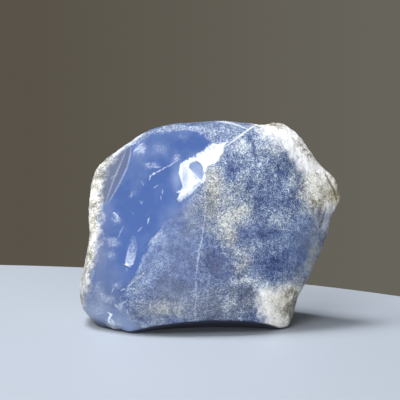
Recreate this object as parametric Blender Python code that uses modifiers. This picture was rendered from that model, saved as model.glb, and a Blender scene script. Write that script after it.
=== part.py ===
"""A free-standing lump of blue chalcedony, broken to a glassy face on the left and a frosted one in front.

One natural stone, so one solid.  The lump is a sphere pushed out to the stone's outline, the broken
faces are struck off it with large curved cutters, and it is levelled where it rests.  The constants are
in millimetres and the model in metres, with +Z up and the frosted face towards -Y.
"""
import math

import bmesh
import bpy
from mathutils import Matrix, Vector, noise

MM = 0.001

# Outline of the lump seen square on, (x, z), from the right-hand knob over the top and round to the left.
OUTLINE = [
    (48.4, 46.3), (48.0, 51.3), (46.7, 54.8), (43.5, 57.0), (40.3, 59.6), (37.7, 63.2), (34.8, 67.2),
    (32.3, 70.5), (29.3, 73.2), (24.9, 75.4), (21.3, 74.9), (18.6, 73.6), (15.4, 74.8), (6.0, 75.3),
    (-5.5, 75.3), (-14.5, 74.6), (-22.6, 72.7), (-28.0, 70.0), (-32.3, 67.0), (-37.2, 63.8),
    (-42.3, 60.4), (-45.6, 54.8), (-46.3, 49.5), (-45.9, 41.8), (-45.9, 33.0), (-47.2, 25.9),
    (-49.0, 18.0), (-49.7, 9.2), (-47.6, 4.4), (-43.6, 0.3), (-37.0, -2.4), (-24.0, -3.6), (0.0, -4.4),
    (24.0, -4.2), (30.0, 1.0), (31.2, 8.0), (33.5, 13.4), (37.8, 19.9), (41.2, 26.5), (43.9, 34.0),
    (44.6, 41.3), (46.6, 43.4),
]
OUTLINE_CENTRE = (0.0, 38.0)

# Away from the rim the outline's small steps are averaged out, over this angle to either side.
AVERAGED_ANGLE = math.radians(24)
AVERAGED_STEPS = 9
RIM_SHARPNESS = 6   # how fast the small steps fade away from the rim

# How far forward (-) or back (+) the outline lies, at the right, top, left and bottom of the lump.
RIM_DEPTH_RIGHT = 6.0
RIM_DEPTH_TOP = 8.0
RIM_DEPTH_LEFT = 8.0
RIM_DEPTH_BOTTOM = -6.0

# The frosted front leans back as it rises, and curves back to the right of its crest.
FRONT_DEPTH = -25.5
FRONT_LEAN = 0.19
FRONT_CURVE = 0.0048
FRONT_CREST_X = -10.0
FRONT_SQUARENESS = 3.4

# The back is fuller at the foot than at the top.
BACK_DEPTH = 36.0
BACK_LEAN = -0.13
BACK_CURVE = -0.0030
BACK_SQUARENESS = 2.7

LUMP_SEGMENTS = 192
LUMP_RINGS = 96
CUTTER_SEGMENTS = 96
CUTTER_RINGS = 64

# Weathered unevenness: height and width of the broad and of the small swellings.
BROAD_SWELL = (0.9, 17.0)
SMALL_SWELL = (0.35, 6.0)
SMALL_SWELL_PLACE = Vector((7.3, 1.9, 4.1))   # keeps the small swellings out of step with the broad ones
SWELL_FORWARD = 0.6                           # swellings push less along Y than outwards

# Struck faces, each a shallow shell-shaped hollow: its deepest point, the way it faces, the way its long
# side runs, and the radii its surface is curved to across and along that side.
STRUCK_FACES = {
    "glass_face": ((-25.0, -4.0, 50.0), (-0.39, -0.82, 0.415), (-0.59, 0.0, -0.81), 103.0, 417.0),
    "crown_facet": ((8.0, -3.6, 74.2), (-0.10, -0.50, 0.86), (1.0, 0.0, 0.0), 40.0, 130.0),
    "left_flake": ((-42.4, 3.0, 58.2), (-0.74, -0.55, 0.38), (0.4, 0.0, 0.9), 60.0, 110.0),
    "right_edge": ((41.5, -3.0, 27.0), (0.82, -0.56, -0.10), (0.35, 0.0, 0.94), 110.0, 160.0),
    "foot_chip": ((21.5, -19.2, 11.0), (0.22, -0.95, -0.20), (1.0, 0.0, 0.0), 32.0, 45.0),
    "back_left": ((-29.8, 21.6, 44.3), (-0.60, 0.78, 0.12), (0.2, 0.0, 1.0), 300.0, 420.0),
    "back_right": ((27.0, 18.5, 42.0), (0.46, 0.86, 0.10), (0.0, 0.0, 1.0), 260.0, 300.0),
    "back_top": ((6.0, 18.5, 64.0), (0.12, 0.72, 0.68), (1.0, 0.0, 0.0), 180.0, 300.0),
    "back_foot": ((4.0, 27.0, 16.0), (-0.12, 0.93, -0.34), (1.0, 0.0, 0.0), 220.0, 300.0),
    "left_side": ((-46.5, 14.0, 24.0), (-0.90, 0.42, 0.10), (0.0, 0.2, 1.0), 160.0, 240.0),
    "under_arch": ((-0.6, -21.1, 5.05), (0.03, -0.20, -0.98), (1.0, 0.0, 0.03), 40.0, 130.0),
}
CUTTER_SIZE = 55.0   # half-thickness of each cutter, square to the face it leaves

SKIN_GRAIN = 0.95        # cell of the even skin
TRIANGLES_KEPT = 0.16    # share of the skin's triangles that the plain solid needs
ON_THE_CUT = 0.001       # how near a corner counts as on the levelling cut
SHORTEST_EDGE = 0.02
SHARP_ANGLE = math.radians(35)


def clear_scene():
    for item in list(bpy.data.objects):
        bpy.data.objects.remove(item, do_unlink=True)


def new_collection(name):
    group = bpy.data.collections.new(name)
    bpy.context.scene.collection.children.link(group)
    return group


def polar(point):
    dx = point[0] - OUTLINE_CENTRE[0]
    dz = point[1] - OUTLINE_CENTRE[1]
    return math.atan2(dz, dx) % math.tau, math.hypot(dx, dz)


RIM = sorted(polar(point) for point in OUTLINE)


def rim_radius(angle):
    """Smooth closed curve through the outline's points, as a radius at an angle (Catmull-Rom)."""
    angle %= math.tau
    count = len(RIM)
    after = next((i for i in range(count) if RIM[i][0] > angle), 0)
    ring = [RIM[(after + step) % count] for step in (-2, -1, 0, 1)]
    start = ring[1][0] - (math.tau if ring[1][0] > angle else 0.0)
    end = ring[2][0] + (math.tau if ring[2][0] < start else 0.0)
    t = (angle - start) / (end - start)
    a, b, c, d = (item[1] for item in ring)
    return b + 0.5 * t * (c - a + t * (2 * a - 5 * b + 4 * c - d + t * (3 * (b - c) + d - a)))


def broad_radius(angle):
    """The outline with its small steps averaged out, for the surface away from the rim."""
    spacing = 2 * AVERAGED_ANGLE / (AVERAGED_STEPS - 1)
    start = angle - AVERAGED_ANGLE
    return sum(rim_radius(start + step * spacing) for step in range(AVERAGED_STEPS)) / AVERAGED_STEPS


def rim_depth(angle):
    across = math.cos(angle)
    up = math.sin(angle)
    side = RIM_DEPTH_RIGHT if across > 0 else RIM_DEPTH_LEFT
    end = RIM_DEPTH_TOP if up > 0 else RIM_DEPTH_BOTTOM
    return side * across * across + end * up * up


def front_depth(x, z):
    bulge = FRONT_CURVE * (x - FRONT_CREST_X) ** 2 if x > FRONT_CREST_X else 0.0
    return FRONT_DEPTH + FRONT_LEAN * z + bulge


def back_depth(x, z):
    return BACK_DEPTH + BACK_LEAN * z + BACK_CURVE * x * x


def swell(point):
    height, width = BROAD_SWELL
    broad = height * noise.noise(point / width)
    height, width = SMALL_SWELL
    return broad + height * noise.noise(point / width + SMALL_SWELL_PLACE)


def lump_point(direction):
    """Where a point of the unit sphere lies on the lump, in millimetres."""
    angle = math.atan2(direction.z, direction.x)
    flat = math.hypot(direction.x, direction.z)
    front = direction.y < 0
    squareness = FRONT_SQUARENESS if front else BACK_SQUARENESS
    reach = flat ** (2 / squareness)
    depth = abs(direction.y) ** (2 / squareness)
    near_rim = flat ** RIM_SHARPNESS
    radius = near_rim * rim_radius(angle) + (1 - near_rim) * broad_radius(angle)
    x = OUTLINE_CENTRE[0] + radius * reach * math.cos(angle)
    z = OUTLINE_CENTRE[1] + radius * reach * math.sin(angle)
    face = front_depth(x, z) if front else back_depth(x, z)
    rim = rim_depth(angle)
    return Vector((x, rim + (face - rim) * depth, z))


def make_lump(group):
    shape = bmesh.new()
    bmesh.ops.create_uvsphere(shape, u_segments=LUMP_SEGMENTS, v_segments=LUMP_RINGS, radius=1.0)
    bmesh.ops.rotate(shape, verts=shape.verts, matrix=Matrix.Rotation(math.radians(90), 3, "X"))
    for vert in shape.verts:
        direction = vert.co.normalized()
        point = lump_point(direction)
        outward = Vector((direction.x, SWELL_FORWARD * direction.y, direction.z)).normalized()
        vert.co = (point + swell(point) * outward) * MM
    bmesh.ops.recalc_face_normals(shape, faces=shape.faces)
    mesh = bpy.data.meshes.new("chalcedony_stone")
    shape.to_mesh(mesh)
    shape.free()
    lump = bpy.data.objects.new("chalcedony_stone", mesh)
    group.objects.link(lump)
    return lump


def strike(lump, cutters, name, deepest, facing, grain, across, along):
    """Take a shell-shaped hollow off the lump with an ellipsoid."""
    out = Vector(facing).normalized()
    side = out.cross(Vector(grain)).normalized()
    length = out.cross(side)
    turn = Matrix((side, length, out)).transposed()
    radii = Vector((math.sqrt(across * CUTTER_SIZE), math.sqrt(along * CUTTER_SIZE), CUTTER_SIZE))
    shape = bmesh.new()
    bmesh.ops.create_uvsphere(
        shape, u_segments=CUTTER_SEGMENTS, v_segments=CUTTER_RINGS, radius=1.0)
    bmesh.ops.scale(shape, verts=shape.verts, vec=radii * MM)
    bmesh.ops.rotate(shape, verts=shape.verts, matrix=turn)
    bmesh.ops.translate(shape, verts=shape.verts, vec=(Vector(deepest) + out * CUTTER_SIZE) * MM)
    mesh = bpy.data.meshes.new(name)
    shape.to_mesh(mesh)
    shape.free()
    cutter = bpy.data.objects.new(name, mesh)
    cutter.hide_render = True
    cutter.display_type = "WIRE"
    cutters.objects.link(cutter)
    cut = lump.modifiers.new(name, "BOOLEAN")
    cut.operation = "DIFFERENCE"
    cut.solver = "EXACT"
    cut.object = cutter


def even_out(lump):
    """One even skin over the struck shape, then fewer and larger triangles."""
    skin = lump.modifiers.new("even_skin", "REMESH")
    skin.mode = "VOXEL"
    skin.voxel_size = SKIN_GRAIN * MM
    skin.use_smooth_shade = True
    thin = lump.modifiers.new("thinned", "DECIMATE")
    thin.ratio = TRIANGLES_KEPT


def settle(lump):
    """Level the foot at the table and centre the stone over the origin."""
    view = bpy.context.evaluated_depsgraph_get()
    mesh = bpy.data.meshes.new_from_object(lump.evaluated_get(view))
    lump.modifiers.clear()
    shape = bmesh.new()
    shape.from_mesh(mesh)
    everything = shape.verts[:] + shape.edges[:] + shape.faces[:]
    cut = bmesh.ops.bisect_plane(
        shape, geom=everything, dist=ON_THE_CUT * MM, plane_co=(0, 0, 0), plane_no=(0, 0, 1),
        clear_inner=True)
    edges = [item for item in cut["geom_cut"] if isinstance(item, bmesh.types.BMEdge)]
    bmesh.ops.holes_fill(shape, edges=edges)
    bmesh.ops.remove_doubles(shape, verts=shape.verts, dist=SHORTEST_EDGE * MM)
    bmesh.ops.triangulate(shape, faces=shape.faces)
    bmesh.ops.recalc_face_normals(shape, faces=shape.faces)
    low = [min(vert.co[i] for vert in shape.verts) for i in range(3)]
    high = [max(vert.co[i] for vert in shape.verts) for i in range(3)]
    centre = Vector(((low[0] + high[0]) / 2, (low[1] + high[1]) / 2, low[2]))
    bmesh.ops.translate(shape, verts=shape.verts, vec=-centre)
    shape.to_mesh(mesh)
    shape.free()
    mesh.name = "chalcedony_stone"
    lump.data = mesh
    mesh.shade_smooth()
    mesh.set_sharp_from_angle(angle=SHARP_ANGLE)


def chalcedony():
    """Translucent milky blue chalcedony."""
    stone = bpy.data.materials.new("blue_chalcedony")
    stone.use_nodes = True
    shader = stone.node_tree.nodes["Principled BSDF"]
    shader.inputs["Base Color"].default_value = (0.175, 0.262, 0.491, 1.0)
    shader.inputs["Roughness"].default_value = 0.35
    shader.inputs["Metallic"].default_value = 0.0
    shader.inputs["IOR"].default_value = 1.54
    return stone


def build():
    clear_scene()
    stones = new_collection("polished_chalcedony")
    cutters = new_collection("cutters")
    stone = make_lump(stones)
    for name, face in STRUCK_FACES.items():
        strike(stone, cutters, name, *face)
    even_out(stone)
    settle(stone)
    stone.data.materials.clear()
    stone.data.materials.append(chalcedony())


build()
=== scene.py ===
"""A free-standing piece of blue chalcedony, glassy, frosted and chalky, on a pale round table."""
import math

import bmesh
import bpy
import numpy as np
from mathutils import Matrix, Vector, noise


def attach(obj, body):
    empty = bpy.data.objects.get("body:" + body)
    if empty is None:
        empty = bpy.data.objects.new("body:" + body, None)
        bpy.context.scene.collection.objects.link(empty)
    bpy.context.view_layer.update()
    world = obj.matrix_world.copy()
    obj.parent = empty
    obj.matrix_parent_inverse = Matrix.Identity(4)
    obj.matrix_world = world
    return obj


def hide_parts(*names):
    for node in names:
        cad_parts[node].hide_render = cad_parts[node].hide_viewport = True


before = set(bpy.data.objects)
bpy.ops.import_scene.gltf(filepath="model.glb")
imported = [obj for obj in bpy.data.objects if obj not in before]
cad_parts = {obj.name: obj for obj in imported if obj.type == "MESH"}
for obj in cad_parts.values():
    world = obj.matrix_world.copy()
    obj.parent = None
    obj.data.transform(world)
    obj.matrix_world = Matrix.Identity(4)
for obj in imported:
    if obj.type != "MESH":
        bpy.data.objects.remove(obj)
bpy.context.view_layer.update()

# --- Stone body -----------------------------------------------------------------------------------
# One lump of chalcedony, a fine-grained quartz that grew as a single mass and was broken out of its
# cavity.  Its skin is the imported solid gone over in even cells, with the flat triangles eased into
# stone and the whole front made twice as fine, because it carries the fine relief.

MM = 0.001
SKIN_CELL = 0.85          # mm between points at the back; the front has half of this
EASING = 14               # rounds that take out the solid's flat triangles
EDGE_EASING = 4           # rounds for the crisp edge over the hollow foot
LAST_EASING = 3           # rounds over the whole skin once its front is finer
FOOT_EDGE = (-30, 29, -10, 8)     # mm: left, right, back and top of that crisp edge
WELD = 0.01               # mm, points of the solid closer than this are one
FRONT_TURN = -0.2         # a face with its normal's y below this looks to the front
DOWN_TURN = -0.6          # a face with its normal's z below this looks down
MARK_TURN = -0.1          # as FRONT_TURN, for the cells that a thin mark crosses

EYE = np.array((-3.6, -394.0, 87.5))   # where the stone is looked at from, in mm
SIGHT_PLANE = -12.0                    # outlines below are (x, z) in mm on the plane y = -12, from the eye


def evened(mesh, cell):
    """The mesh over again in even cells, as a bmesh."""
    holder = bpy.data.objects.new("evening", mesh)
    bpy.context.scene.collection.objects.link(holder)
    skin = holder.modifiers.new("skin", "REMESH")
    skin.mode = "VOXEL"
    skin.voxel_size = cell
    view = bpy.context.evaluated_depsgraph_get()
    shape = bmesh.new()
    shape.from_mesh(holder.evaluated_get(view).to_mesh())
    bpy.data.objects.remove(holder, do_unlink=True)
    return shape


def smooth(shape, verts, rounds):
    """Draws points half way toward their neighbours, for a number of rounds."""
    for turn in range(rounds):
        bmesh.ops.smooth_vert(shape, verts=verts, factor=0.5, use_axis_x=True, use_axis_y=True,
                              use_axis_z=True)


def halve(shape, faces):
    """Splits every edge of some faces in two, so that their cells are half as wide."""
    touched = {edge for face in faces for edge in face.edges}
    edges = [edge for edge in shape.edges if edge in touched]
    bmesh.ops.subdivide_edges(shape, edges=edges, cuts=1, use_grid_fill=True)


def gathered(elements, what):
    """One vector of every element, as rows of three numbers."""
    values = np.empty(len(elements) * 3, dtype=np.float64)
    elements.foreach_get(what, values)
    return values.reshape(-1, 3)


def seen(points):
    """Where points appear on the sight plane, as x and z in mm."""
    reach = (SIGHT_PLANE - EYE[1]) / (points[:, 1] - EYE[1])
    return (EYE[0] + (points[:, 0] - EYE[0]) * reach,
            EYE[2] + (points[:, 2] - EYE[2]) * reach)


def ease(low, high, value):
    """0 up to low, 1 from high on, and a soft slope between."""
    part = np.clip((value - low) / (high - low), 0, 1)
    return part * part * (3 - 2 * part)


def from_line(x, z, line):
    """Distance in mm from a line on the sight plane."""
    nearest = np.full(len(x), 1e9)
    for (ax, az), (bx, bz) in zip(line, line[1:]):
        square = max((bx - ax) ** 2 + (bz - az) ** 2, 1e-9)
        along = np.clip(((x - ax) * (bx - ax) + (z - az) * (bz - az)) / square, 0, 1)
        nearest = np.minimum(nearest, np.hypot(x - ax - along * (bx - ax), z - az - along * (bz - az)))
    return nearest


def inside(x, z, outline):
    """Depth in mm inside a closed outline on the sight plane, negative outside it."""
    closed = outline + outline[:1]
    within = np.zeros(len(x), bool)
    for (ax, az), (bx, bz) in zip(closed, closed[1:]):
        rise = bz - az if bz != az else 1e-9
        within ^= ((az > z) != (bz > z)) & (x < ax + (z - az) * (bx - ax) / rise)
    return np.where(within, 1, -1) * from_line(x, z, closed)


def cloudy(points, size, seed, octaves=3):
    """Cloudy variation about zero, its largest lumps about `size` mm across."""
    shift = Vector((seed, 1.7 * seed, -seed))
    return np.array([noise.fractal(Vector(point) / size + shift, 0.8, 2.0, octaves) for point in points])


GLASS_OUTLINE = [
    (-20.9, 71.4), (-14.5, 72.6), (-7.2, 72.9), (-2.0, 72.0), (-1.2, 69.3), (1.5, 68.2), (6.2, 68.2),
    (5.5, 66.4), (4.4, 63.8), (2.6, 60.9), (-1.4, 59.1), (-2.5, 55.4), (-5.5, 51.0), (-8.5, 46.2),
    (-12.0, 42.0), (-16.0, 38.8), (-18.3, 36.0), (-22.0, 32.2), (-23.1, 28.9), (-26.4, 21.4),
    (-29.8, 15.8), (-32.5, 12.4), (-33.3, 7.9), (-31.5, 4.2), (-28.0, 1.0), (-27.0, -1.5), (-36.0, -3.4),
    (-45.5, -0.3), (-48.2, 6.8), (-46.6, 10.2), (-45.1, 13.9), (-44.3, 19.6), (-42.1, 28.9),
    (-41.3, 38.1), (-39.7, 45.5), (-38.0, 53.6), (-37.0, 59.5), (-33.4, 63.8), (-30.0, 66.0),
    (-27.0, 67.9), (-24.0, 69.8)]
GLASS_EASING = 120        # rounds that leave the low end of the glassy break one smooth surface
LOW_GLASS = 36.0          # mm up, where that low end starts
GLASS_MARGIN = 1.0        # mm inside the outline, where the extra rounds begin

# Flake scars, chips and feather-shaped cracks, as lines (x, z) in mm on the sight plane.
SCAR_INNER = [(-30.0, 66.7), (-32.0, 62.0), (-33.9, 57.6), (-35.6, 53.6), (-37.2, 48.8), (-38.2, 45.9)]
SCAR_OUTER = [(-28.7, 66.9), (-29.1, 63.8), (-30.2, 59.4), (-32.4, 54.7), (-34.7, 50.3), (-37.3, 46.2)]
SCAR_BRANCH = [(-33.7, 56.9), (-36.1, 55.2)]
OVAL_FLAKE = [
    (-7.6, 60.9), (-5.1, 62.0), (-3.6, 60.9), (-2.7, 59.4), (-2.3, 56.9), (-2.9, 54.3), (-5.1, 54.7),
    (-6.5, 56.9), (-8.0, 58.9)]
OVAL_LINE = [(-8.0, 58.9), (-6.2, 57.3), (-4.3, 55.2), (-2.9, 53.6)]
OVAL_CHIP = [
    (-28.8, 34.4), (-27.0, 33.9), (-26.4, 30.2), (-27.3, 25.9), (-28.3, 23.3), (-30.4, 23.0),
    (-31.2, 24.1), (-30.7, 27.0), (-29.8, 30.7)]
LOW_CHIP = [(-33.7, 8.7), (-31.7, 9.8), (-30.4, 9.9), (-30.8, 8.5), (-32.4, 7.2), (-33.6, 7.6)]
FEATHERS = (              # strength, half width in mm, line
    (0.85, 0.34, [(-27.8, 64.9), (-26.2, 66.6), (-24.7, 68.0)]),
    (0.65, 0.28, [(-25.7, 67.2), (-24.3, 66.7), (-23.1, 65.7)]),
    (0.55, 0.28, [(-27.2, 65.4), (-25.1, 66.1), (-24.0, 65.3)]),
    (0.75, 0.26, [(-23.6, 60.2), (-22.4, 60.6), (-20.9, 60.7)]),
    (0.80, 0.26, [(-22.6, 59.5), (-20.2, 59.4), (-17.6, 59.5)]),
    (0.55, 0.24, [(-21.3, 60.9), (-20.2, 60.1), (-19.6, 59.5)]),
    (0.45, 0.24, [(-23.0, 59.9), (-21.8, 58.9)]),
    (0.40, 0.30, [(-20.4, 60.2), (-19.0, 60.0)]),
    (0.95, 0.36, [(-22.1, 54.4), (-21.5, 56.3), (-20.4, 57.0), (-18.2, 58.2)]),
    (0.85, 0.26, [(-21.0, 56.7), (-15.3, 59.7), (-12.7, 61.3), (-10.6, 62.3)]),
    (0.55, 0.50, [(-13.2, 61.7), (-11.6, 63.3)]),
    (0.40, 0.28, [(-25.0, 54.2), (-24.2, 52.6)]),
    (0.35, 0.28, [(-20.6, 51.5), (-19.0, 52.9)]),
    (0.75, 0.26, [(-17.4, 51.3), (-17.3, 49.4)]),
    (0.55, 0.24, [(-18.1, 48.9), (-17.8, 47.4)]),
    (0.45, 0.26, [(-25.8, 47.4), (-25.0, 46.0), (-24.5, 46.8)]),
    (0.30, 0.30, [(-28.5, 42.9), (-27.9, 41.8)]),
    (0.80, 0.26, [(-22.9, 38.2), (-22.2, 41.0)]),
    (0.50, 0.24, [(-26.4, 35.5), (-24.8, 37.6)]),
    (0.90, 0.42, [(-36.1, 42.6), (-35.0, 42.5), (-34.0, 41.6), (-33.7, 39.5)]),
    (0.40, 0.40, [(-34.4, 41.5), (-32.6, 40.3)]),
    (0.35, 0.26, [(-31.6, 37.9), (-32.7, 35.8), (-33.7, 33.1)]),
    (0.50, 0.34, [(-35.1, 31.0), (-34.1, 30.7)]),
    (0.80, 0.30, [(-39.7, 12.9), (-39.8, 10.5)]),
    (0.55, 0.26, [(-43.0, 4.6), (-39.3, 5.6)]),
    (0.70, 0.28, [(-36.3, 12.9), (-35.2, 15.3)]),
    (0.65, 0.28, [(-33.1, 13.7), (-31.0, 14.5)]),
    (0.95, 0.32, [(-30.4, 15.0), (-29.3, 16.1), (-28.0, 17.2)]),
    (0.55, 0.26, [(-28.3, 16.9), (-26.2, 18.5), (-23.6, 21.4)]),
    (0.60, 0.34, [(-33.5, 8.1), (-32.1, 9.1), (-30.5, 9.9)]),
    (0.45, 0.30, [(-35.3, 8.8), (-34.3, 7.5)]),
    (1.50, 0.60, [(-37.7, 5.6), (-36.4, 4.6), (-37.2, 3.2), (-37.4, 2.1), (-36.4, 0.8)]),
    (0.90, 0.30, [(-32.0, 23.5), (-30.4, 23.3), (-29.4, 22.8), (-27.8, 24.1)]),
    (0.45, 0.24, [(-30.5, 22.2), (-30.7, 20.6)]),
    (0.45, 0.24, [(-29.6, 24.5), (-28.6, 28.5), (-28.0, 32.5)]),
    (0.35, 0.24, [(-28.6, 24.5), (-27.8, 28.5), (-27.6, 31.5)]),
    (0.50, 0.24, [(-2.9, 53.6), (-2.4, 55.4), (-1.9, 57.4)]))

# The chipped pale rim over the glass at the upper left, painted white partly as a painted highlight along
# that edge.
RIM = [
    (-35.0, 63.6), (-33.6, 65.0), (-32.2, 66.3), (-30.3, 67.9), (-28.3, 69.3), (-26.3, 70.4),
    (-24.6, 71.2)]

# The seam that runs down the sugary face, and the edges where that face meets the ones above it.
SEAM = [
    (-2.5, 53.6), (-1.8, 49.2), (-1.4, 45.5), (-1.8, 40.7), (-2.5, 36.3), (-3.2, 30.7), (-4.2, 28.9),
    (-4.0, 26.3), (-4.7, 23.3), (-5.1, 15.8), (-5.1, 10.9), (-5.5, 2.7)]
FACET_EDGE = [(17.6, 75.2), (15.6, 74.0), (13.8, 72.9), (10.9, 70.7), (8.0, 68.6), (5.5, 66.7)]
UPPER_EDGE = [(2.9, 76.0), (4.7, 75.7), (8.0, 75.2), (10.9, 74.3), (13.5, 73.2)]

MARKS = [line for strength, half_width, line in FEATHERS]
MARKS += [SCAR_INNER, SCAR_OUTER, SCAR_BRANCH, OVAL_FLAKE + OVAL_FLAKE[:1], OVAL_LINE]
MARKS += [RIM, SEAM, FACET_EDGE, UPPER_EDGE]
MARK_REACH = 0.8          # mm to either side of a mark

merged = bmesh.new()
merged.from_mesh(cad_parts["chalcedony_stone"].data)
bmesh.ops.remove_doubles(merged, verts=merged.verts, dist=WELD * MM)
plain = bpy.data.meshes.new("plain")
merged.to_mesh(plain)
merged.free()
body = evened(plain, SKIN_CELL * MM)
places = np.array([vert.co for vert in body.verts]) / MM
edge_left, edge_right, edge_back, edge_top = FOOT_EDGE
crisp = (places[:, 0] > edge_left) & (places[:, 0] < edge_right)
crisp &= (places[:, 1] < edge_back) & (places[:, 2] < edge_top)
eased = [vert for vert, chosen in zip(body.verts, crisp) if not chosen]
smooth(body, body.verts, EDGE_EASING)
smooth(body, eased, EASING - EDGE_EASING)
body.normal_update()
places = np.array([vert.co for vert in body.verts]) / MM
fronts = np.array([vert.normal.y for vert in body.verts]) < FRONT_TURN
glassy = (inside(*seen(places), GLASS_OUTLINE) > GLASS_MARGIN) & fronts & (places[:, 2] < LOW_GLASS)
smooth(body, [vert for vert, chosen in zip(body.verts, glassy) if chosen], GLASS_EASING)
body.normal_update()
halve(body, [face for face in body.faces if face.normal.y < FRONT_TURN and face.normal.z > DOWN_TURN])
smooth(body, body.verts, LAST_EASING)

# Thin marks are drawn on points half as far apart again.
middles = np.array([face.calc_center_median() for face in body.faces]) / MM
ahead = np.array([face.normal.y for face in body.faces]) < MARK_TURN
near_mark = np.zeros(len(middles), bool)
for line in MARKS:
    near_mark |= from_line(*seen(middles), line) < MARK_REACH
halve(body, [face for face, chosen in zip(body.faces, near_mark & ahead) if chosen])
bmesh.ops.triangulate(body, faces=[face for face in body.faces if len(face.verts) > 4])
mesh = bpy.data.meshes.new("chalcedony_stone_skin")
body.to_mesh(mesh)
body.free()
stone = bpy.data.objects.new("chalcedony_stone_skin", mesh)
bpy.context.scene.collection.objects.link(stone)
mesh.shade_smooth()
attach(stone, "root")
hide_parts("chalcedony_stone")

points = gathered(mesh.vertices, "co") / MM
normals = gathered(mesh.vertex_normals, "vector")
x, z = seen(points)                    # the same points on the sight plane
toward = EYE - points
toward /= np.linalg.norm(toward, axis=1)[:, None]
facing = np.sum(normals * toward, axis=1)
front = ease(-0.3, -0.05, facing)      # 1 on all that the eye sees, easing to 0 just round the edge
lift = np.zeros(len(points))           # how far each point is moved out along its normal, in mm

# --- Glassy break ---------------------------------------------------------------------------------
# The left of the front broke like thick glass: one smooth hollow face, blue and faintly milky, with
# flake scars, bruises and feather-shaped cracks that turn white where air has got into them.  The
# highest flake's white is partly painted highlight, and some milky patches are partly painted sheen.

# Borders stray a little: rag in small nicks, ragged in longer bays.  The glass ends sharply, but fades
# into the frost at its middle right and at the foot.
NICK_SIZE, BAY_SIZE = 1.3, 3.5         # mm across
NICK_DEPTH, BAY_DEPTH = 0.7, 0.5       # mm, about how far they move the glass's border
EDGE_SOFT = 0.35          # mm to either side of that border, most of the way round
MIDDLE_SOFT = 2.4         # mm more at its middle right
FOOT_SOFT = 2.2           # mm more at the foot
rag = cloudy(points, NICK_SIZE, 3.1)
ragged = cloudy(points, BAY_SIZE, 8.4)
soft_edge = EDGE_SOFT + MIDDLE_SOFT * np.exp(-(((x + 12) / 9) ** 2 + ((z - 43) / 7) ** 2))
soft_edge += FOOT_SOFT * ease(14, 6, z)
glass_depth = inside(x, z, GLASS_OUTLINE) + NICK_DEPTH * rag + BAY_DEPTH * ragged
glass = ease(-soft_edge, soft_edge, glass_depth) * front


def stroke(x, z, line, half_width, tip=0.45):
    """A thin mark along a line on the sight plane, widest half way; a low tip gives it pointed ends."""
    lengths = [math.dist(start, end) for start, end in zip(line, line[1:])]
    done = 0.0
    mark = np.zeros(len(x))
    for (ax, az), (bx, bz), length in zip(line, line[1:], lengths):
        along = np.clip(((x - ax) * (bx - ax) + (z - az) * (bz - az)) / length ** 2, 0, 1)
        away = np.hypot(x - ax - along * (bx - ax), z - az - along * (bz - az))
        share = np.clip((done + along * length) / sum(lengths), 0.03, 0.97)
        width = half_width * (tip + 0.65 * np.sin(math.pi * share))
        mark = np.maximum(mark, np.exp(-(away / width) ** 2))
        done += length
    return mark


def patches(x, z, rows):
    """Sum of soft oval patches, each row (x, z, half width, half height, turn in degrees, strength)."""
    total = np.zeros(len(x))
    for px, pz, wide, high, turn, strength in rows:
        angle = math.radians(turn)
        across = (x - px) * math.cos(angle) + (z - pz) * math.sin(angle)
        up = (z - pz) * math.cos(angle) - (x - px) * math.sin(angle)
        total += strength * np.exp(-0.8 * ((across / wide) ** 2 + (up / high) ** 2))
    return total


# The highest flake is nearly one plane, turned half way between the window and the eye so that it
# glints, and painted white, partly as a bruise and partly as painted highlight.  A clear oval flake leans
# away in it.
WINDOW_SIDE = Vector((-0.633, -0.112, 0.766)).normalized()      # toward the window
FLAKE = [
    (6.8, 68.4), (2.9, 68.1), (0.4, 67.8), (-1.8, 66.0), (-4.0, 64.4), (-5.8, 63.3), (-7.6, 62.4),
    (-9.1, 61.6), (-10.5, 60.5), (-10.9, 57.3), (-10.2, 54.7), (-9.6, 52.1), (-10.5, 51.0), (-12.0, 50.3),
    (-10.9, 49.7), (-11.8, 47.7), (-11.3, 46.8), (-10.4, 47.0), (-7.6, 48.8), (-5.1, 51.0), (-3.2, 53.2),
    (-2.1, 53.6), (-1.5, 55.8), (-1.6, 57.6), (-0.7, 59.8), (0.8, 60.4), (3.0, 61.6), (5.0, 64.6),
    (5.3, 66.7)]
FLAKE_BLEND = 0.85        # share of the way that the flake is brought to a plane
FLAKE_REACH = 1.6         # mm, the most that this moves a point
OVAL_LEAN = 0.15          # mm sunk for each mm to the right
LOBE_LEAN = 0.13          # mm sunk for each mm to the left

jag = cloudy(points, 0.7, 17.0, 2)
flake_depth = inside(x, z, FLAKE) + 0.35 * rag
on_flake = ease(-0.5, 1.2, flake_depth) * front
core = (flake_depth > 1) & (front > 0.5)
centre = points[core].mean(axis=0)
square_on = WINDOW_SIDE + Vector(EYE - centre).normalized()
square_on = np.array(square_on.normalized())
to_plane = ((centre - points) @ square_on) / np.maximum(normals @ square_on, 0.3)
lift += on_flake * FLAKE_BLEND * np.clip(to_plane, -FLAKE_REACH, FLAKE_REACH)
oval_depth = inside(x, z, OVAL_FLAKE)
lift -= OVAL_LEAN * ease(-0.2, 0.6, oval_depth) * front * np.clip(x + 8.5 + 0.2 * (z - 58), 0, 7)

# The flake's left lobe curls down to the left, out of the glint, so it is less white.
lobe = ease(-0.2, 0.6, flake_depth) * ease(50.5, 52.0, z) * ease(62.0, 60.0, z) * front
lift -= LOBE_LEAN * lobe * np.clip(-7.4 - x, 0, 4)

# A thin dull scar lies along the upper left edge, with a bluer lens between its two rims.
SCAR_LINES = ((SCAR_INNER, 0.26), (SCAR_OUTER, 0.24), (SCAR_BRANCH, 0.3))      # with half widths in mm
scar_area = inside(x, z, SCAR_OUTER + [(-44.0, 46.0), (-44.0, 66.0), (-33.0, 70.0)])
scar = ease(-0.15, 0.3, scar_area) * front
scar_lens = ease(-0.1, 0.3, inside(x, z, SCAR_OUTER + SCAR_INNER[::-1])) * front
scar_lines = np.zeros(len(points))
for line, half_width in SCAR_LINES:
    scar_lines = np.maximum(scar_lines, stroke(x, z, line, half_width) * front)

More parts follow.
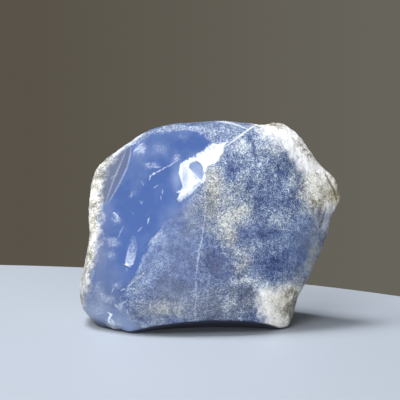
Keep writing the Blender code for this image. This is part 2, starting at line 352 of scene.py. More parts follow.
CHIP_DEPTH = 0.3          # mm, at the lower end of the oval chip
LOW_CHIP_DEPTH = 0.25     # mm
chip = ease(-0.1, 0.5, inside(x, z, OVAL_CHIP)) * front
lift -= CHIP_DEPTH * chip * ease(36, 23, z)
low_chip = ease(-0.1, 0.5, inside(x, z, LOW_CHIP)) * front
lift -= LOW_CHIP_DEPTH * low_chip

# Cracks wander a little off their lines, and hackle breaks them up along their length.
CRACK_WANDER = 0.24       # mm
FEATHER_LIFT = 0.05       # mm, how far a feather crack's lips stand up
FEATHER_WHITE = 0.68      # share of white in a feather crack of strength 1
SCAR_WHITE = 0.22         # and in the scar's rims
FEATHER_SLIM = 0.85       # share of the half widths in the table
POINTED = 0.15            # the tip that gives a stroke pointed ends
hackle = cloudy(points, 0.6, 6.6, 2)
bent_x = x + CRACK_WANDER * cloudy(points, 0.9, 12.0, 3)
bent_z = z + CRACK_WANDER * cloudy(points, 0.9, 14.0, 3)
strokes = SCAR_WHITE * scar_lines * np.clip(0.9 + 1.2 * hackle, 0.2, 1)
for strength, half_width, line in FEATHERS:
    mark = FEATHER_WHITE * strength * stroke(bent_x, bent_z, line, FEATHER_SLIM * half_width, POINTED)
    strokes = np.maximum(strokes, mark * np.clip(0.9 + 1.4 * hackle, 0.15, 1.25) * front)
lift += FEATHER_LIFT * strokes
feather_and_glint = chip * (0.1 + 0.34 * ease(31, 22.5, z) + 0.22 * hackle)
feather_and_glint = np.maximum(feather_and_glint, low_chip * (0.42 + 0.7 * hackle))

BRUISES = (               # clouds of tiny cracks in the glass, their outlines torn below
    (-25.2, 65.9, 1.5, 1.2, 30, 0.36), (-21.4, 59.9, 1.8, 0.8, 0, 0.22), (-12.0, 63.1, 1.2, 0.9, 40, 0.3),
    (-35.4, 32.0, 1.8, 1.2, -20, 0.28), (-34.4, 40.9, 1.4, 1.0, -60, 0.3), (-28.0, 49.6, 0.6, 0.5, 0, 0.3),
    (-36.6, 27.0, 1.4, 0.9, 0, 0.22), (-35.9, 0.4, 1.6, 1.6, 0, 0.8), (-33.4, 7.8, 1.0, 1.0, 0, 0.5),
    (-39.8, 11.8, 1.2, 1.8, 0, 0.2), (-17.8, 66.0, 2.4, 1.6, 0, 0.14), (-9.6, 70.2, 1.4, 0.9, 0, 0.12),
    (-23.8, 14.4, 1.2, 1.2, 0, 0.2), (-41.5, 7.0, 3.0, 2.0, 0, 0.16),
    (-37.2, 10.6, 1.2, 0.9, 20, 0.3), (-41.6, 15.0, 1.0, 1.4, 0, 0.22), (-34.6, 15.6, 1.3, 0.8, 30, 0.26))
BRUISE_TEAR = 1.3         # mm, about how far their outlines are torn
torn_x = x + BRUISE_TEAR * cloudy(points, 1.6, 23.0, 3)
torn_z = z + BRUISE_TEAR * cloudy(points, 1.6, 27.0, 3)
cloudlets = patches(torn_x, torn_z, BRUISES) * front * np.clip(0.9 + 1.4 * hackle, 0.2, 1.3)
feather_and_glint = np.maximum(feather_and_glint, cloudlets)

THIN = (                  # where the flake's white, bruise and painted highlight, is thin and blue shows through it
    (-8.9, 56.0, 1.7, 3.4, 0, 0.5), (-5.6, 52.6, 2.4, 1.0, 35, 0.5), (-9.0, 48.6, 1.8, 1.0, 40, 0.3))
FLAKE_LINES = (           # strength, half width in mm, line: the oval's rim and fold, and the lobe's rim
    (0.6, 0.24, OVAL_FLAKE + OVAL_FLAKE[:1]), (0.7, 0.24, OVAL_LINE), (0.9, 0.34, FLAKE[7:12]))
FLAKE_WHITE = 0.95        # share of white in the flake's bruise and painted highlight
# The oval is clear glass, a little hazed at its lower end.
clear = ease(-0.25, 0.2, oval_depth) * (0.97 - 0.35 * ease(54.8, 52.0, z + 0.7 * x))
# The flake's white is partly a bruise and partly painted highlight over its glint.
bruise_and_glint = ease(-0.3, 0.3, flake_depth + 0.45 * jag) * np.clip(0.9 + 0.5 * hackle, 0.35, 1)
bruise_and_glint *= 1 - patches(x, z, THIN)
# The flake's painted highlight joins the white of the feather cracks here.
feather_and_glint = np.maximum(feather_and_glint, FLAKE_WHITE * bruise_and_glint * (1 - clear) * front)
for strength, half_width, line in FLAKE_LINES:
    feather_and_glint = np.maximum(feather_and_glint, strength * front * stroke(x, z, line, half_width))

# Three patches are partly painted sheen: the soft spot near the top at (-17.8, 66.0), the pale band left of
# the glinting flake at (-12.0, 55.4), and the smooth patch below it at (-10.8, 43.5).
MILKY_AND_SHEEN = (                 # where the glass is paler, as a share of the way from deep to milky blue
    (-44.0, 6.0, 8.0, 9.0, 0, 0.7), (-32.0, 0.5, 13.0, 5.0, 0, 1.1), (-30.5, 1.0, 4.0, 3.0, 0, 0.4),
    (-40.0, 26.0, 4.5, 14.0, 0, 0.25), (-10.8, 43.5, 6.0, 4.5, 30, 0.3), (-12.0, 55.4, 1.8, 4.5, 0, 0.9),
    (-5.2, 58.0, 3.0, 4.0, 0, 1.2), (-17.8, 66.0, 4.5, 2.5, 0, 0.22),
    (-33.5, 18.0, 4.0, 3.5, 0, 0.25), (-12.0, 72.0, 14.0, 2.0, 0, 0.25), (-38.0, 47.0, 3.0, 6.0, 0, 0.35),
    (-27.0, 60.0, 5.0, 8.0, -20, 0.22), (-36.0, 60.0, 4.0, 6.0, 0, 0.3))
SMOKY = (                 # where it is greyer and duller, beside the left rind
    (-40.5, 28.0, 4.5, 12.0, 0, 0.42), (-37.0, 10.0, 8.0, 8.0, 0, 0.35))
GLASS_SWELL = 0.05        # mm, the slow waves in the glass
# milk_and_sheen carries the milky tone of the glass, and in those three patches painted sheen.
milk_and_sheen = patches(x, z, MILKY_AND_SHEEN) * front + 0.2 * cloudy(points, 7.0, 5.2, 3)
smoky = patches(x, z, SMOKY) * glass
lift += GLASS_SWELL * cloudy(points, 7.0, 11.3, 2) * glass

# --- Frosted break --------------------------------------------------------------------------------
# The right of the front is sugary: a skin of tiny quartz grains grown on the broken face, pale where
# they stand thick and dark blue where they are thin.  A hairline seam of white quartz runs down it.

WANDER = 1.5              # mm, how far the borders of patches and of the rind stray
wander_x = x + WANDER * cloudy(points, 4.0, 21.0, 3)
wander_z = z + WANDER * cloudy(points, 4.0, 34.0, 3)
PALE = (                  # where the grains stand thick
    (12.0, 67.3, 2.6, 2.0, 0, 0.8), (2.2, 54.7, 3.0, 6.5, 0, 0.6), (9.0, 40.6, 5.5, 4.6, 20, 0.75),
    (6.7, 38.5, 2.4, 1.8, 0, 0.6), (12.9, 42.9, 2.4, 2.0, 0, 0.35), (6.3, 32.9, 2.2, 3.2, 0, 0.5),
    (11.5, 25.0, 3.0, 5.5, 0, 0.5), (27.8, 51.4, 1.6, 4.0, -35, 0.8), (36.0, 55.0, 4.0, 8.0, 0, 0.6),
    (13.7, 16.8, 6.0, 1.5, 0, 0.5), (7.5, 7.9, 2.4, 2.6, 0, 0.5), (-15.5, 8.0, 7.0, 3.2, 0, 0.42),
    (-20.6, 32.5, 1.6, 5.5, -28, 0.36), (5.0, 71.5, 9.0, 3.0, 0, 0.08), (22.0, 68.0, 5.0, 2.5, -35, 0.5),
    (20.0, 31.0, 3.5, 2.0, 0, 0.35), (28.0, 40.0, 3.0, 3.0, 0, 0.35), (16.5, 64.0, 9.0, 8.0, 0, 0.42),
    (-1.0, 61.5, 2.0, 4.0, 0, 0.4), (-7.5, 44.0, 3.5, 4.5, 0, 0.3), (22.5, 42.0, 2.0, 4.0, 0, 0.3),
    (9.0, 49.0, 5.0, 3.0, 0, 0.25), (-16.0, 24.0, 3.5, 3.5, 0, 0.2), (33.0, 46.0, 2.0, 5.0, -20, 0.4),
    (38.6, 26.5, 2.4, 10.0, -18, 0.4))
DEEP = (                  # where they are thin and dark blue shows
    (27.0, 61.3, 3.6, 4.0, 0, 0.4), (8.8, 57.6, 2.2, 4.5, 0, 0.5), (18.5, 51.6, 4.6, 4.0, 0, 0.3),
    (17.6, 45.5, 2.6, 2.6, 0, 0.6), (25.0, 46.1, 3.0, 3.0, 0, 0.35), (31.1, 50.0, 1.5, 3.0, 0, 0.4),
    (15.2, 35.2, 5.0, 2.6, 0, 0.7), (22.5, 35.2, 3.6, 2.4, 0, 0.45), (24.1, 23.6, 5.4, 4.6, 0, 0.6),
    (1.6, 24.4, 4.8, 5.6, 0, 0.75), (0.8, 6.4, 7.0, 3.0, 0, 0.4), (13.0, 12.8, 2.8, 3.0, 0, 0.5),
    (15.3, 67.2, 0.8, 4.8, 22, 0.9), (14.0, 4.5, 14.0, 3.0, 0, 0.5), (-11.0, 20.0, 6.0, 6.0, 0, 0.35),
    (-22.0, 12.0, 5.0, 4.0, 0, 0.2), (-9.0, 30.0, 6.0, 6.0, 0, 0.3), (-13.0, 13.0, 8.0, 5.0, 0, 0.45),
    (-20.0, 7.0, 4.0, 4.0, 0, 0.3), (-11.0, 42.5, 6.5, 5.5, 0, 0.35), (8.0, 14.0, 9.0, 8.0, 0, 0.4),
    (0.6, 46.5, 2.2, 4.0, 0, 0.5), (3.0, 24.0, 6.0, 6.0, 0, 0.2), (11.5, 25.0, 3.0, 5.0, 0, 0.3),
    (36.0, 30.0, 4.0, 10.0, -15, 0.2), (-16.0, 3.0, 10.0, 1.5, 0, 0.3))
WARM = (                  # where the grains are cream and not white
    (0.4, 47.0, 3.0, 6.0, 0, 0.95), (9.0, 40.6, 6.5, 5.0, 20, 0.7), (6.3, 32.9, 3.0, 3.6, 0, 0.7),
    (37.0, 52.0, 5.5, 9.0, 0, 0.85), (-15.5, 8.0, 7.0, 3.6, 0, 0.55), (11.9, 24.4, 3.6, 5.5, 0, 0.7),
    (1.5, 54.0, 3.5, 7.0, 0, 0.5), (17.0, 13.0, 9.0, 4.5, 0, 0.5), (-21.0, 5.0, 5.0, 5.0, 0, 0.3),
    (-27.0, 4.0, 5.0, 5.0, 0, 0.35), (28.0, 11.0, 4.0, 5.0, 0, 0.3), (-12.0, 14.0, 8.0, 4.0, 0, 0.2),
    (38.0, 27.5, 4.0, 11.0, -17, 0.7), (9.0, 50.0, 6.0, 5.0, 0, 0.3), (2.0, 6.0, 16.0, 6.0, 0, 0.55),
    (33.0, 12.0, 4.0, 6.0, 0, 0.5), (28.0, 66.0, 8.0, 8.0, 0, 0.2), (-2.0, 60.0, 3.0, 4.0, 0, 0.4),
    (-6.5, 44.0, 4.0, 5.0, 0, 0.4))
CALM = (                  # where the grains lie low and the face is almost smooth
    (-11.5, 42.6, 6.5, 5.0, 15, 0.85), (35.6, 30.0, 6.0, 9.0, -15, 0.8), (-36.0, 1.0, 6.0, 6.0, 0, 0.6),
    (-26.0, 1.5, 6.0, 3.5, 0, 0.3), (-10.0, 32.0, 8.0, 6.0, 0, 0.5), (-14.0, 14.0, 12.0, 14.0, 0, 0.46),
    (-20.0, 29.0, 4.0, 8.0, -28, 0.3), (19.0, 35.0, 7.0, 3.0, 0, 0.3), (24.0, 9.0, 5.0, 6.0, 0, 0.3))
ARC = [(8.0, 16.9), (13.7, 17.7), (18.5, 16.5), (23.7, 15.3), (28.9, 15.9)]    # a pale arc over the foot
cloud = (patches(wander_x, wander_z, PALE) - patches(wander_x, wander_z, DEEP)) * front
cloud += 0.25 * (1 - front) + 0.42 * cloudy(points, 4.0, 41.0, 5) + 0.2 * cloudy(points, 1.3, 47.0, 2)
cloud += 0.5 * front * np.exp(-(from_line(wander_x, wander_z, ARC) / 1.3) ** 2)
warm = patches(wander_x, wander_z, WARM) * front + 0.24 * cloudy(points, 5.0, 44.0, 4) + 0.25 * (1 - front)
sugar = 1 - patches(x, z, CALM) * front

SEAM_LIFT = 0.1           # mm, how far the white quartz stands up
SEAM_HALF, EDGE_HALF, RIM_HALF = 0.22, 0.3, 0.85       # mm, half widths
SEAM_WHITE, RIM_WHITE = 0.34, 0.95                     # shares of white
seam = SEAM_WHITE * stroke(bent_x, bent_z, SEAM, SEAM_HALF) * np.clip(0.8 + 1.6 * hackle, 0.1, 1.3)
seam *= 0.6 + 0.5 * ease(8, 34, z)
for strength, line in ((0.8, FACET_EDGE), (0.7, UPPER_EDGE)):
    seam = np.maximum(seam, strength * stroke(x, z, line, EDGE_HALF))
# The rim's white is partly a pale chipped rim and partly painted highlight along the upper left edge.
rim_and_glint = RIM_WHITE * stroke(x, z, RIM, RIM_HALF) * ease(-0.06, 0.04, facing)
rim_and_glint *= np.clip(0.85 + 0.8 * hackle, 0.2, 1)
# From here seam also carries the rim with its painted highlight.
seam = np.maximum(seam * front, rim_and_glint)
lift += SEAM_LIFT * seam

FROST_SWELL = 0.2         # mm, the slow waves under the grains
FROST_TOOTH = 0.08        # mm, the coarser grains
CRUST = 0.14              # mm, how much higher the thick pale patches stand
frosted = (1 - glass) * front
fine = cloudy(points, 1.0, 55.0, 2)
lift += frosted * (FROST_SWELL * cloudy(points, 6.0, 61.0, 3) + FROST_TOOTH * fine * sugar
                   + CRUST * np.clip(cloud, -1, 1))

# --- Rind -----------------------------------------------------------------------------------------
# The outside of the lump is the skin it grew against its cavity wall: chalky, cream to grey-white,
# knobbly and pitted.  It wraps the back, the left and the upper right, and shows at the front as bands.

LEFT_RIND = [
    (-33.8, 68.4), (-35.6, 63.5), (-37.6, 59.8), (-39.6, 55.4), (-40.0, 51.0), (-40.5, 47.4),
    (-40.5, 42.9), (-40.6, 38.1), (-41.2, 32.6), (-42.0, 28.1), (-42.9, 24.4), (-43.9, 19.6),
    (-44.8, 14.7), (-45.8, 10.2), (-46.9, 6.4), (-47.9, 3.4), (-58.0, 3.4), (-58.0, 72.0)]
RIGHT_RIND = [
    (15.6, 76.4), (18.4, 73.4), (21.5, 70.9), (26.2, 67.8), (29.4, 65.1), (32.6, 62.0), (34.2, 58.4),
    (36.0, 54.2), (36.8, 49.9), (36.6, 44.5), (38.4, 40.6), (41.0, 36.5), (58.0, 34.0), (58.0, 80.0),
    (15.6, 86.0)]
FOOT_RIND = [
    (17.2, 14.0), (20.3, 14.6), (24.1, 14.1), (28.1, 14.7), (30.7, 16.2), (35.3, 13.9), (34.2, 10.2),
    (32.8, 5.7), (32.0, 0.0), (28.5, -3.0), (23.3, -2.5), (20.4, 2.5), (18.6, 6.4), (18.0, 10.2)]
LUMP_HEIGHT = 0.36        # mm
PIT_DEPTH = 0.26          # mm
CHALK_TOOTH = 0.05        # mm, the finest roughness
RIGHT_STANDS = 0.2        # mm, how far the right band stands over the frost beside it
left_band = ease(-2.2, 1.9, inside(wander_x, wander_z, LEFT_RIND) + 0.8 * rag)
left_band *= 1 - 0.3 * ease(32, 8, z)
right_band = ease(-2.4, 1.8, inside(wander_x, wander_z, RIGHT_RIND) + 1.2 * rag)
right_band *= 1 - 0.75 * ease(47, 41, z)
foot_band = 0.9 * ease(-2.6, 2.6, inside(wander_x, wander_z, FOOT_RIND) + 1.6 * rag + 0.8 * ragged)
rind_front = np.maximum(np.maximum(left_band, right_band), foot_band)
back_cloud = cloudy(points, 16.0, 71.0, 4)
rind_back = ease(-0.5, 0.06, back_cloud + 0.16 * rag + 0.1 * ragged)
rind = front * rind_front + (1 - front) * rind_back
lumps = cloudy(points, 4.5, 82.0, 4)
pits = ease(0.2, 0.45, cloudy(points, 2.0, 93.0, 3))
rough_rind = rind * (1 - front * (0.55 * left_band + 0.45 * right_band)) * (1 - 0.8 * foot_band * front)
lift += rough_rind * (LUMP_HEIGHT * lumps - PIT_DEPTH * pits) + CHALK_TOOTH * rind * fine
lift += RIGHT_STANDS * right_band * front

# Grey and olive dirt lies in its hollows; the knob at the far right is iron stained and cracked.
DIRT = (
    (-46.0, 12.0, 5.0, 16.0, 0, 0.62), (-43.5, 42.0, 8.0, 18.0, 0, 0.64), (-39.5, 61.0, 5.0, 7.0, -40, 0.56),
    (27.0, 70.5, 4.0, 2.5, -40, 0.12), (19.5, 73.6, 3.5, 1.8, -30, 0.45), (30.8, 68.6, 3.2, 1.0, -45, 0.5),
    (36.4, 62.2, 3.0, 0.8, -40, 0.5), (41.0, 48.5, 4.5, 6.0, 0, 0.55), (38.5, 56.0, 2.5, 2.5, 0, 0.3),
    (45.8, 49.0, 2.4, 3.2, 0, 0.28), (23.5, 75.2, 4.5, 1.5, -10, 1.1), (28.0, 8.0, 2.2, 4.5, 0, 0.2),
    (32.0, 9.0, 3.0, 8.0, -10, 0.95), (25.0, 7.0, 6.0, 8.0, 0, 0.38),
    (34.0, 65.3, 0.8, 0.8, 0, 0.7), (36.0, 63.2, 0.8, 0.6, 0, 0.6), (32.4, 67.3, 0.6, 0.6, 0, 0.5),
    (40.7, 39.5, 0.9, 3.4, 5, 0.9), (38.0, 45.0, 3.0, 4.0, 0, 0.4), (-46.6, 41.0, 1.0, 2.0, 0, 0.5))
STAINS = (                # iron staining
    (46.2, 49.5, 2.4, 4.0, 0, 0.85), (44.6, 55.4, 2.2, 1.4, 0, 0.3), (27.6, 11.0, 2.6, 4.0, 0, 0.25),
    (25.0, 7.0, 6.0, 8.0, 0, 0.26), (-36.0, 63.0, 3.0, 3.0, 0, 0.2), (-45.5, 47.0, 1.2, 6.0, 0, 0.4),
    (39.0, 52.0, 5.0, 6.0, 0, 0.2))
CRACKS = (                # strength, half width in mm, line
    (0.5, 0.3, [(27.0, 14.3), (28.2, 13.2), (28.5, 10.9)]),
    (0.9, 0.4, [(42.3, 56.8), (44.2, 53.3), (45.9, 50.0), (46.4, 47.6)]),
    (0.5, 0.3, [(45.9, 55.4), (46.9, 52.0), (46.6, 49.0)]),
    (0.7, 0.45, [(42.6, 44.3), (41.5, 40.7), (40.6, 37.4)]),
    (0.4, 0.35, [(40.9, 45.5), (40.3, 42.6), (39.8, 39.8)]))
CRACK_DEPTH = 0.3         # mm
dirt = patches(wander_x, wander_z, DIRT) * front * (1 + 0.7 * ragged)
dirt += 0.3 * np.clip(-lumps, 0, 1) * (1 - 0.7 * right_band * front)
dirt += (1 - front) * (0.15 + 0.4 * ease(0.05, 0.5, cloudy(points, 9.0, 111.0, 4)))
stain = patches(wander_x, wander_z, STAINS) * front
stain = np.maximum(stain, (1 - front) * 0.6 * ease(0.12, 0.5, cloudy(points, 11.0, 101.0, 3)))
crack = np.zeros(len(points))
for strength, half_width, line in CRACKS:
    crack = np.maximum(crack, strength * stroke(bent_x, bent_z, line, half_width) * front)
lift -= CRACK_DEPTH * crack

# --- Relief and areas put on the stone ------------------------------------------------------------
# Every point moves out along its own normal by the relief above, and keeps what the surface is there.
# The hollow under the foot is painted dark: painted shade on the faces that look down, close to the table.

HOLLOW_TURN = (-0.45, -0.72)      # the normal's z, from no painted shade to full painted shade
HOLLOW_TOP = (9.0, 6.5)           # mm up, the same
HOLLOW_CALM = 0.9                 # share of its relief that the hollow loses
FOOT_FLAT = (0.05, 0.8)           # mm up, from no relief to all of it
SCAR_SHARE = 0.8                  # share of its own dull colour that the scar shows
CLOUD_REACH = 1.4         # how far the cloudiness goes either way; every other area is a share from 0 to 1

# hollow_shade is painted shade: it darkens the faces that look down, low under the stone.
hollow_shade = ease(*HOLLOW_TURN, normals[:, 2]) * ease(*HOLLOW_TOP, points[:, 2])
flat_foot = ease(*FOOT_FLAT, points[:, 2]) * (1 - HOLLOW_CALM * hollow_shade)
lift *= flat_foot         # the foot stays flat, and the hollow keeps its shape
points += normals * lift[:, None]
mesh.vertices.foreach_set("co", (points * MM).ravel())
mesh.update()
# white holds the feather cracks and the flake's bruise with its painted highlight; seam brings the rim's
# painted highlight.
white = np.maximum(feather_and_glint * np.maximum(glass, bruise_and_glint * front), strokes)
AREAS = {
    "glass": glass, "rind": rind, "feather_and_glint": np.maximum(white, seam), "milk_and_sheen": milk_and_sheen, "cloud": cloud,
    "warm": warm, "sugar": sugar, "dirt": dirt, "stain": stain, "crack": crack,
    "scar": np.maximum(scar * SCAR_SHARE, smoky), "lens": scar_lens, "hollow_shade": hollow_shade}
for name, values in AREAS.items():
    lowest, highest = (-CLOUD_REACH, CLOUD_REACH) if name == "cloud" else (0, 1)
    area = mesh.attributes.new(name, "FLOAT", "POINT")
    area.data.foreach_set("value", np.clip(values, lowest, highest).astype(np.float32))

# Blue chalcedony, broken and left as it broke: the glass is a soft waxy gloss over milky blue, the
# frost scatters light from many small grains, and the rind is dull and chalky.
GRAIN = 0.32              # mm: a quartz grain, really finer, but as coarse as it has to be to show
CLUMP = 1.0               # mm: a clump of grains
CHALK = 1.2               # mm: a pore of the rind
GRAIN_HEIGHT = 0.12       # mm
CHALK_PORE_DEPTH = 0.3    # mm
GRAIN_BUMP, CHALK_BUMP = 0.35, 0.4     # how strongly the two show
QUARTZ_IOR = 1.54
GLOW_REACH = (1.2, 1.6, 2.8)      # mm that red, green and blue light travel in the glass
GLOW_SHARE = 0.24         # share of the glass's colour that comes from within it
GRAIN_SHARE, CLUMP_SHARE = 0.8, 0.2    # of the speckle
CLOUD_TONE, MIDDLE_TONE = 0.42, 0.44   # how cloudiness moves the frost along its colours, and from where
SPECK_TONE = 0.9                       # how the speckle does
CHALK_TONE, CHALK_SPECK, DIRT_TONE = 1.12, 0.66, -0.85   # the same for the rind: start, speckle, dirt


def linear(colour):
    """An sRGB hex colour as linear RGBA."""
    parts = [int(colour[start:start + 2], 16) / 255 for start in (0, 2, 4)]
    return [part / 12.92 if part <= 0.04045 else ((part + 0.055) / 1.055) ** 2.4 for part in parts] + [1.0]


def add(tree, kind, inputs=None, **settings):
    """Adds a node with its settings, and values or links for its inputs."""
    node = tree.nodes.new(kind)
    for name, value in settings.items():
        setattr(node, name, value)
    for name, value in (inputs or {}).items():
        if isinstance(value, bpy.types.NodeSocket):
            tree.links.new(value, node.inputs[name])
        else:
            node.inputs[name].default_value = value
    return node


chalcedony = bpy.data.materials.new("blue_chalcedony_as_broken")
chalcedony.use_nodes = True
tree = chalcedony.node_tree
finish = tree.nodes["Principled BSDF"]
stone_place = add(tree, "ShaderNodeTexCoord").outputs["Object"]
on = {name: add(tree, "ShaderNodeAttribute", attribute_name=name).outputs["Fac"] for name in AREAS}

grains = add(tree, "ShaderNodeTexVoronoi", {"Vector": stone_place, "Scale": 1 / (GRAIN * MM)})
grain_tone = add(tree, "ShaderNodeSeparateColor", {"Color": grains.outputs["Color"]})
clumps = add(tree, "ShaderNodeTexVoronoi", {"Vector": stone_place, "Scale": 1 / (CLUMP * MM)})
clump_tone = add(tree, "ShaderNodeSeparateColor", {"Color": clumps.outputs["Color"]})
chalk = add(tree, "ShaderNodeTexNoise", {"Vector": stone_place, "Scale": 1 / (CHALK * MM),
                                         "Detail": 5.0, "Roughness": 0.65})

# The speckle runs from about -0.5 to 0.5, and fades out where the grains lie low.
speck = add(tree, "ShaderNodeMath", {0: grain_tone.outputs[0], 1: GRAIN_SHARE, 2: -0.5},
            operation="MULTIPLY_ADD")
speck = add(tree, "ShaderNodeMath", {0: clump_tone.outputs[0], 1: CLUMP_SHARE, 2: speck.outputs[0]},
            operation="MULTIPLY_ADD")
speck = add(tree, "ShaderNodeMath", {0: speck.outputs[0], 1: on["sugar"]}, operation="MULTIPLY")

# The milky blue also lays down the painted sheen beside the glinting flake.
glass_blue = add(tree, "ShaderNodeMix", {0: on["milk_and_sheen"], 6: linear("485f92"), 7: linear("7d8dae")},
                 data_type="RGBA")

tone = add(tree, "ShaderNodeMath", {0: on["cloud"], 1: CLOUD_TONE, 2: MIDDLE_TONE},
           operation="MULTIPLY_ADD")
toned = add(tree, "ShaderNodeMath", {0: speck.outputs[0], 1: SPECK_TONE, 2: tone.outputs[0]},
            operation="MULTIPLY_ADD")
frost_blue = add(tree, "ShaderNodeValToRGB", {"Fac": toned.outputs[0]})
frost_warm = add(tree, "ShaderNodeValToRGB", {"Fac": toned.outputs[0]})
chalk_speck = add(tree, "ShaderNodeMath", {0: speck.outputs[0], 1: CHALK_SPECK, 2: CHALK_TONE},
                  operation="MULTIPLY_ADD")
chalk_tone = add(tree, "ShaderNodeMath", {0: on["dirt"], 1: DIRT_TONE, 2: chalk_speck.outputs[0]},
                 operation="MULTIPLY_ADD")
chalk_ramp = add(tree, "ShaderNodeValToRGB", {"Fac": chalk_tone.outputs[0]})
RAMPS = (                 # from dark bare stone to the thickest grains, or to the cleanest chalk
    (frost_blue, ((0.0, "23315b"), (0.3, "435681"), (0.52, "677a9e"), (0.75, "95a4b5"), (1.0, "d4d8dd"))),
    (frost_warm, ((0.0, "3e4757"), (0.3, "606773"), (0.52, "858887"), (0.75, "acaba0"), (1.0, "d5d4c8"))),
    (chalk_ramp, ((0.0, "4a4638"), (0.3, "8a8675"), (0.52, "b6b4a8"), (0.75, "e6e4dc"), (0.95, "fbfaf7"))))
for ramp, stops in RAMPS:
    steps = ramp.color_ramp.elements
    for step, (position, colour) in zip(steps, (stops[0], stops[-1])):
        step.position = position
        step.color = linear(colour)
    for position, colour in stops[1:-1]:
        steps.new(position).color = linear(colour)

# From the inside out: frost or glass, scars, feather cracks and the flake's painted highlight in the glass,
# the rind over them, and last the open cracks and the painted shade in the hollow under the foot.
layer = frost_blue.outputs["Color"]
# The white e8eff5 paints the feather cracks, and also the painted highlights on the flake and along the rim.
LAYERS = (
    ("warm", frost_warm.outputs["Color"]), ("glass", glass_blue.outputs[2]), ("scar", linear("4b5469")),
    ("lens", linear("465478")), ("feather_and_glint", linear("e8eff5")))
for name, over in LAYERS:
    layer = add(tree, "ShaderNodeMix", {0: on[name], 6: layer, 7: over}, data_type="RGBA").outputs[2]
iron = add(tree, "ShaderNodeMix", {0: on["stain"], 6: linear("ffffff"), 7: linear("b5a67c")},
           data_type="RGBA")
stained = add(tree, "ShaderNodeMix", {0: 1.0, 6: chalk_ramp.outputs["Color"], 7: iron.outputs[2]},
              data_type="RGBA", blend_type="MULTIPLY")
# The dark 181b30 laid over the hollow is painted shade under the foot.
OUTER = (("rind", stained.outputs[2]), ("crack", linear("3c372e")), ("hollow_shade", linear("181b30")))
for name, over in OUTER:
    layer = add(tree, "ShaderNodeMix", {0: on[name], 6: layer, 7: over}, data_type="RGBA").outputs[2]
tree.links.new(layer, finish.inputs["Base Color"])

FROST_ROUGH = 0.5
ROUGHNESS = (("glass", 0.1), ("scar", 0.6), ("rind", 0.8), ("hollow_shade", 0.9))     # each over those before
rough = FROST_ROUGH
for name, value in ROUGHNESS:
    rough = add(tree, "ShaderNodeMix", {0: on[name], 2: rough, 3: value}, data_type="FLOAT").outputs[0]
tree.links.new(rough, finish.inputs["Roughness"])
inner_glow = add(tree, "ShaderNodeMath", {0: on["glass"], 1: GLOW_SHARE}, operation="MULTIPLY")
tree.links.new(inner_glow.outputs[0], finish.inputs["Subsurface Weight"])

dull = add(tree, "ShaderNodeMath", {0: 1.0, 1: on["glass"]}, operation="SUBTRACT")
standing = add(tree, "ShaderNodeMath", {0: dull.outputs[0], 1: on["sugar"]}, operation="MULTIPLY")
grain_height = add(tree, "ShaderNodeMath", {0: grain_tone.outputs[1], 1: standing.outputs[0]},
                   operation="MULTIPLY")
grain_bump = add(tree, "ShaderNodeBump", {"Strength": GRAIN_BUMP, "Distance": GRAIN_HEIGHT * MM,
                                          "Height": grain_height.outputs[0]})
chalk_height = add(tree, "ShaderNodeMath", {0: chalk.outputs["Fac"], 1: on["rind"]}, operation="MULTIPLY")
chalk_bump = add(tree, "ShaderNodeBump", {"Strength": CHALK_BUMP, "Distance": CHALK_PORE_DEPTH * MM,
                                          "Height": chalk_height.outputs[0],
                                          "Normal": grain_bump.outputs[0]})
tree.links.new(chalk_bump.outputs[0], finish.inputs["Normal"])
finish.inputs["IOR"].default_value = QUARTZ_IOR
finish.inputs["Subsurface Radius"].default_value = [reach * MM for reach in GLOW_REACH]
finish.inputs["Subsurface Scale"].default_value = 1.0
mesh.materials.append(chalcedony)

# --- Table ----------------------------------------------------------------------------------------
# A plain round table top of board, cut to a circle and sprayed with a pale matt lacquer that shows only
# a soft sheen.  The stone stands toward its far right, and the edge shows behind it on both sides.

TABLE_CENTRE = (-145, -222)    # mm
TABLE_RADIUS = 351
TABLE_THICK = 18
TABLE_SIDES = 256
LACQUER_ROUGH = 0.55
table_shape = bmesh.new()
bmesh.ops.create_circle(table_shape, cap_ends=True, segments=TABLE_SIDES, radius=TABLE_RADIUS * MM)
bmesh.ops.translate(table_shape, verts=table_shape.verts, vec=Vector((*TABLE_CENTRE, 0)) * MM)
below = bmesh.ops.extrude_face_region(table_shape, geom=list(table_shape.faces))
lowered = [part for part in below["geom"] if isinstance(part, bmesh.types.BMVert)]
bmesh.ops.translate(table_shape, verts=lowered, vec=(0, 0, -TABLE_THICK * MM))
bmesh.ops.recalc_face_normals(table_shape, faces=table_shape.faces)
table_mesh = bpy.data.meshes.new("table_top")
table_shape.to_mesh(table_mesh)
table_shape.free()
table = bpy.data.objects.new("table_top", table_mesh)
bpy.context.scene.collection.objects.link(table)
lacquer = bpy.data.materials.new("pale_matt_lacquer")
lacquer.use_nodes = True
lacquer_finish = lacquer.node_tree.nodes["Principled BSDF"]
lacquer_finish.inputs["Base Color"].default_value = linear("b5bcc5")
lacquer_finish.inputs["Roughness"].default_value = LACQUER_ROUGH
table_mesh.materials.append(lacquer)

# --- Room and lights ------------------------------------------------------------------------------
# A quiet warm grey room, a little lighter to the right.  One small window stands high on the left, a soft
# sky lies above the eye and to its left, a low broad light fills in from the front, and a strong soft
# light almost overhead, a little to the left and back, throws the shadow to the right.

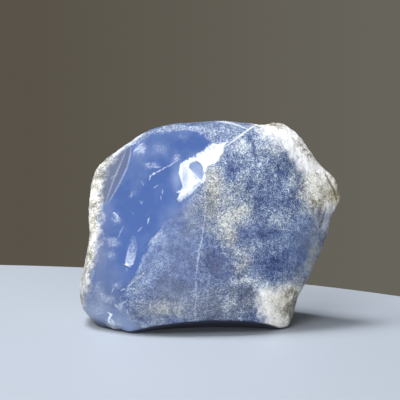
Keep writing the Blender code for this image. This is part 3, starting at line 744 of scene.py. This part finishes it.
WALL_TURN = 0.16          # how far to either side the wall's colour changes
ROOM_GLOW = 0.25          # share of the wall's brightness that falls on things
scene = bpy.context.scene
scene.view_settings.view_transform = "Standard"
room = bpy.data.worlds.new("warm_grey_room")
scene.world = room
room.use_nodes = True
walls = room.node_tree
backdrop = walls.nodes["Background"]
wall_place = add(walls, "ShaderNodeTexCoord").outputs["Generated"]
wall_turn = add(walls, "ShaderNodeSeparateXYZ", {0: wall_place})
wall_side = add(walls, "ShaderNodeMapRange", {"Value": wall_turn.outputs["X"], "From Min": -WALL_TURN,
                                              "From Max": WALL_TURN})
wall = add(walls, "ShaderNodeMix", {0: wall_side.outputs[0], 6: linear("595349"), 7: linear("67645b")},
           data_type="RGBA")
walls.links.new(wall.outputs[2], backdrop.inputs["Color"])
seen_directly = add(walls, "ShaderNodeLightPath").outputs["Is Camera Ray"]
glow = add(walls, "ShaderNodeMapRange", {"Value": seen_directly, "To Min": ROOM_GLOW, "To Max": 1.0})
walls.links.new(glow.outputs[0], backdrop.inputs["Strength"])

MIDDLE = Vector((-2, 0, 40)) * MM     # what the lights point at
LIGHTS = (                # name, toward it, distance m, width m, height m, watts, colour
    ("window", WINDOW_SIDE, 0.9, 0.19, 0.19, 1.8, "fffdf8"),
    ("sky", Vector((-0.36, -0.665, 0.655)), 1.4, 0.78, 0.78, 10.0, "f6f9ff"),
    ("front", Vector((0.03, -0.99, 0.07)), 1.5, 1.3, 0.32, 15.5, "f6f9ff"),
    ("back", Vector((-0.29, 0.07, 0.955)), 1.3, 0.45, 0.45, 16.0, "f6f9ff"))
for name, side, distance, width, height, watts, colour in LIGHTS:
    lamp = bpy.data.lights.new(name, "AREA")
    lamp.shape = "RECTANGLE"
    lamp.size = width
    lamp.size_y = height
    lamp.energy = watts
    lamp.color = linear(colour)[:3]
    holder = bpy.data.objects.new(name, lamp)
    scene.collection.objects.link(holder)
    holder.location = MIDDLE + side.normalized() * distance
    holder.rotation_euler = side.to_track_quat("Z", "Y").to_euler()

LOOKING_DOWN = 6          # degrees
LENS = 94.5               # mm
SENSOR = 36               # mm
camera = bpy.data.objects.new("camera", bpy.data.cameras.new("camera"))
scene.collection.objects.link(camera)
camera.location = Vector(EYE) * MM
camera.rotation_euler = (math.radians(90 - LOOKING_DOWN), 0, 0)
camera.data.lens = LENS
camera.data.sensor_width = SENSOR
scene.camera = camera
